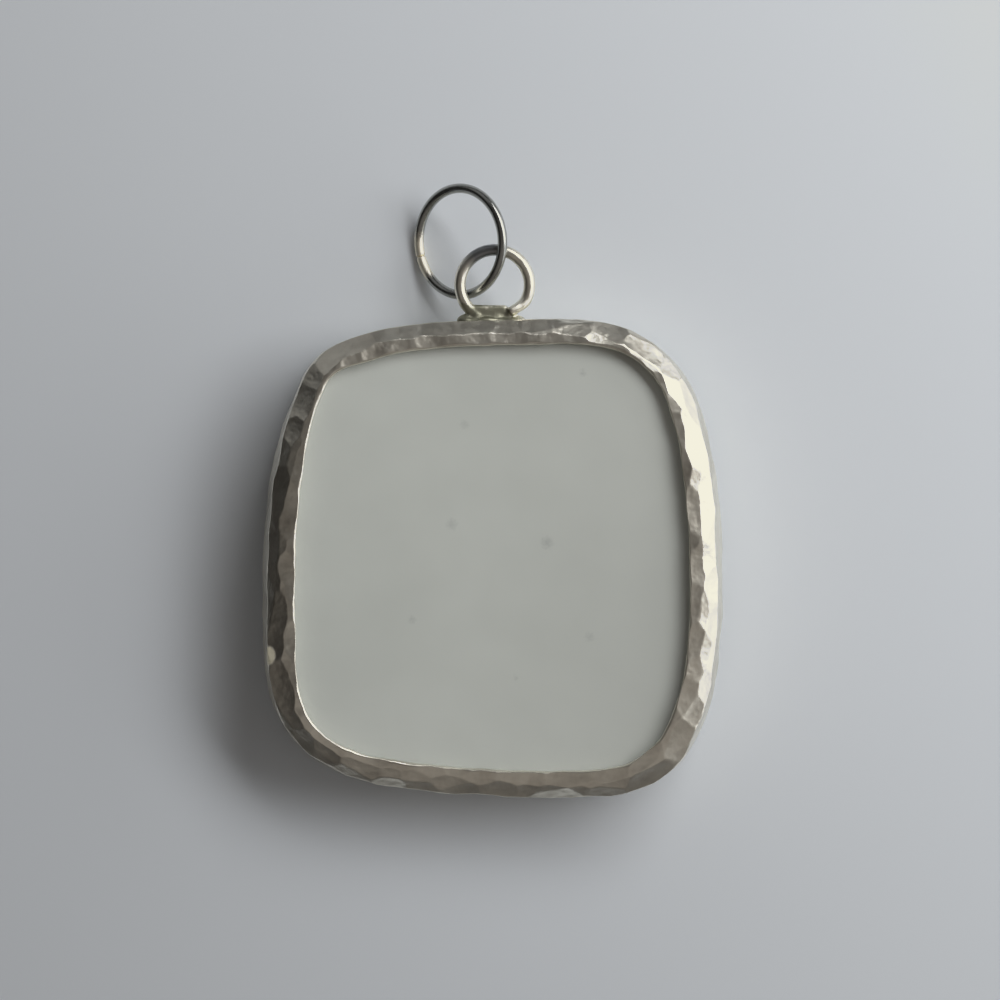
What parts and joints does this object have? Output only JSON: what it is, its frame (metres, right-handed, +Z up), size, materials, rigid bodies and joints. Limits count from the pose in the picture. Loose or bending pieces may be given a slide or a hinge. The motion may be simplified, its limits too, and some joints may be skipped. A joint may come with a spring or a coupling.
{
  "type": "pottery shard pendant",
  "caption": "Pendant of a curved, rounded-square piece of glazed pottery held in a folded, hammered silver frame, with a soldered loop and a loose jump ring leaning in it.",
  "frame": {"origin": "middle of the underside of the whole object's box, on the surface that the pendant lies on", "axes": "+Z up out of the shard's hollow face, +Y from the frame towards the rings, +X to the right seen from above"},
  "size_m": [0.0324, 0.0434, 0.0064],
  "materials": {
    "silver": "hammered and rubbed sterling silver, slightly tarnished",
    "glazed_pottery": "worn off-white tin glaze with faint grey specks",
    "ring_silver": "drawn sterling silver wire"
  },
  "bodies": {
    "root": {"bezel": "silver", "shard": "glazed_pottery", "jump_ring": "ring_silver"}
  },
  "joints": []
}
